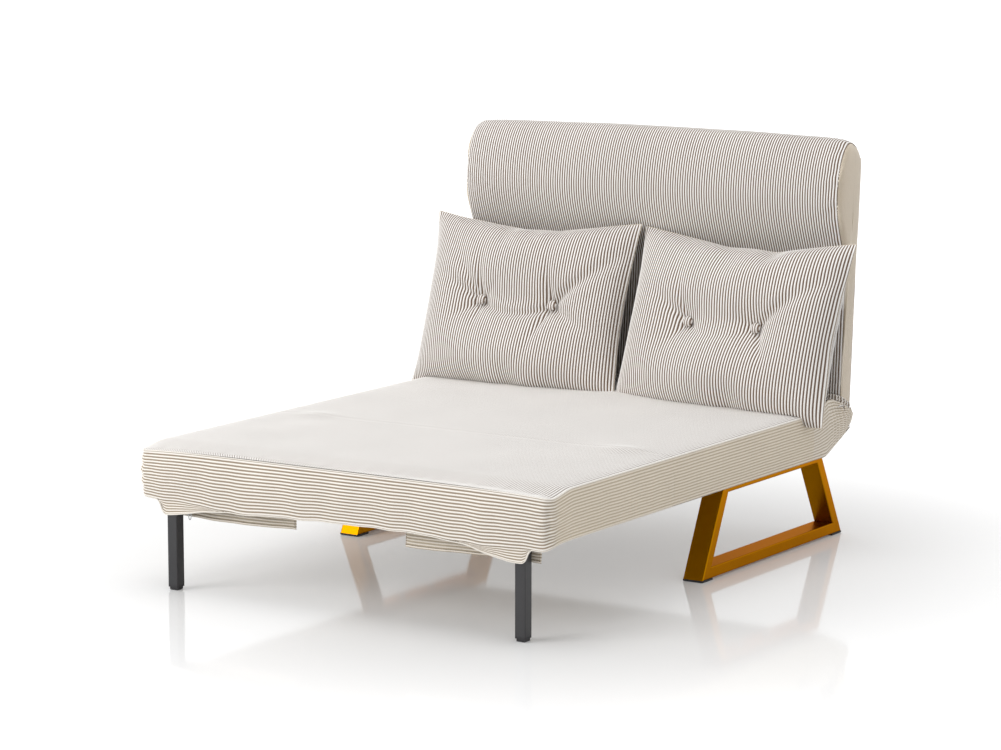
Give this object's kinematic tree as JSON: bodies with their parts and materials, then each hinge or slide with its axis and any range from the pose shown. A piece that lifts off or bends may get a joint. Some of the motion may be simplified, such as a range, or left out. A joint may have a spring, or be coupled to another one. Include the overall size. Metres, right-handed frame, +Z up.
{
  "type": "chair bed",
  "caption": "Corduroy chair bed shown as a chaise: padded seat on gold loop legs, fold-over front on fold-in black legs, reclining back with head bolster, loose tufted pillows.",
  "frame": {"origin": "on the floor, under the middle of the part's box", "axes": "+Z up, the front faces -Y, +X to the right when facing +Y"},
  "size_m": [1.0854, 1.3703, 0.9188],
  "materials": {
    "corduroy": "matte",
    "foam": "matte",
    "gold_steel": "satin",
    "black_steel": "satin",
    "zinc_steel": "satin",
    "black_plastic": "matte",
    "slat_wood": "satin",
    "webbing": "matte",
    "zip_tape": "matte"
  },
  "bodies": {
    "seat": {"seat_frame": "black_steel", "seat_slats": "slat_wood", "seat_slat_caps": "black_plastic", "seat_pad": "foam", "seat_cover": "corduroy", "rear_leg_left": "gold_steel", "rear_leg_right": "gold_steel", "rear_leg_glides": "black_plastic", "rear_leg_bolts": "zinc_steel", "recline_seat_plates": "black_steel", "recline_pins": "zinc_steel", "recline_ratchet_wheels": "zinc_steel", "fold_seat_plates": "black_steel", "fold_pins": "zinc_steel"},
    "front_section": {"front_frame": "black_steel", "front_slats": "slat_wood", "front_slat_caps": "black_plastic", "front_pad": "foam", "front_cover": "corduroy", "fold_front_plates": "black_steel", "front_leg_brackets": "black_steel", "front_leg_pins": "zinc_steel", "pocket_flap_left": "corduroy", "pocket_flap_right": "corduroy", "zip_tapes": "zip_tape"},
    "front_leg_left": {"front_leg_left": "black_steel", "front_foot_left": "black_plastic"},
    "front_leg_right": {"front_leg_right": "black_steel", "front_foot_right": "black_plastic"},
    "backrest": {"back_frame": "black_steel", "back_straps": "webbing", "back_pad": "foam", "head_bolster": "foam", "back_cover": "corduroy", "recline_arms": "black_steel", "recline_pawls": "zinc_steel"},
    "pillow_left": {"pillow_left": "corduroy", "pillow_buttons_left": "corduroy"},
    "pillow_right": {"pillow_right": "corduroy", "pillow_buttons_right": "corduroy"},
    "zip_slider_left": {"zip_slider_left": "zinc_steel"},
    "zip_slider_right": {"zip_slider_right": "zinc_steel"}
  },
  "joints": [
    {"name": "backrest_recline", "type": "hinge", "parent": "seat", "child": "backrest", "pos_m": [0, 0.61881, 0.278], "axis": [-1, 0, 0], "range_deg": [0, 86]},
    {"name": "front_fold", "type": "hinge", "parent": "seat", "child": "front_section", "pos_m": [0, -0.20019, 0.3045], "axis": [-1, 0, 0], "range_deg": [0, 180]},
    {"name": "left_leg_fold", "type": "hinge", "parent": "front_section", "child": "front_leg_left", "pos_m": [-0.443, -0.66419, 0.236], "axis": [0, -1, 0], "range_deg": [0, 90]},
    {"name": "right_leg_fold", "type": "hinge", "parent": "front_section", "child": "front_leg_right", "pos_m": [0.443, -0.66419, 0.236], "axis": [0, 1, 0], "range_deg": [0, 90]},
    {"name": "left_pillow_lift", "type": "slide", "parent": "backrest", "child": "pillow_left", "axis": [0, -0.6, 0.8], "range_m": [0, 0.4]},
    {"name": "right_pillow_lift", "type": "slide", "parent": "backrest", "child": "pillow_right", "axis": [0, -0.6, 0.8], "range_m": [0, 0.4]},
    {"name": "left_zip_slide", "type": "slide", "parent": "front_section", "child": "zip_slider_left", "axis": [1, 0, 0], "range_m": [0, 0.22]},
    {"name": "right_zip_slide", "type": "slide", "parent": "front_section", "child": "zip_slider_right", "axis": [-1, 0, 0], "range_m": [0, 0.22]}
  ]
}
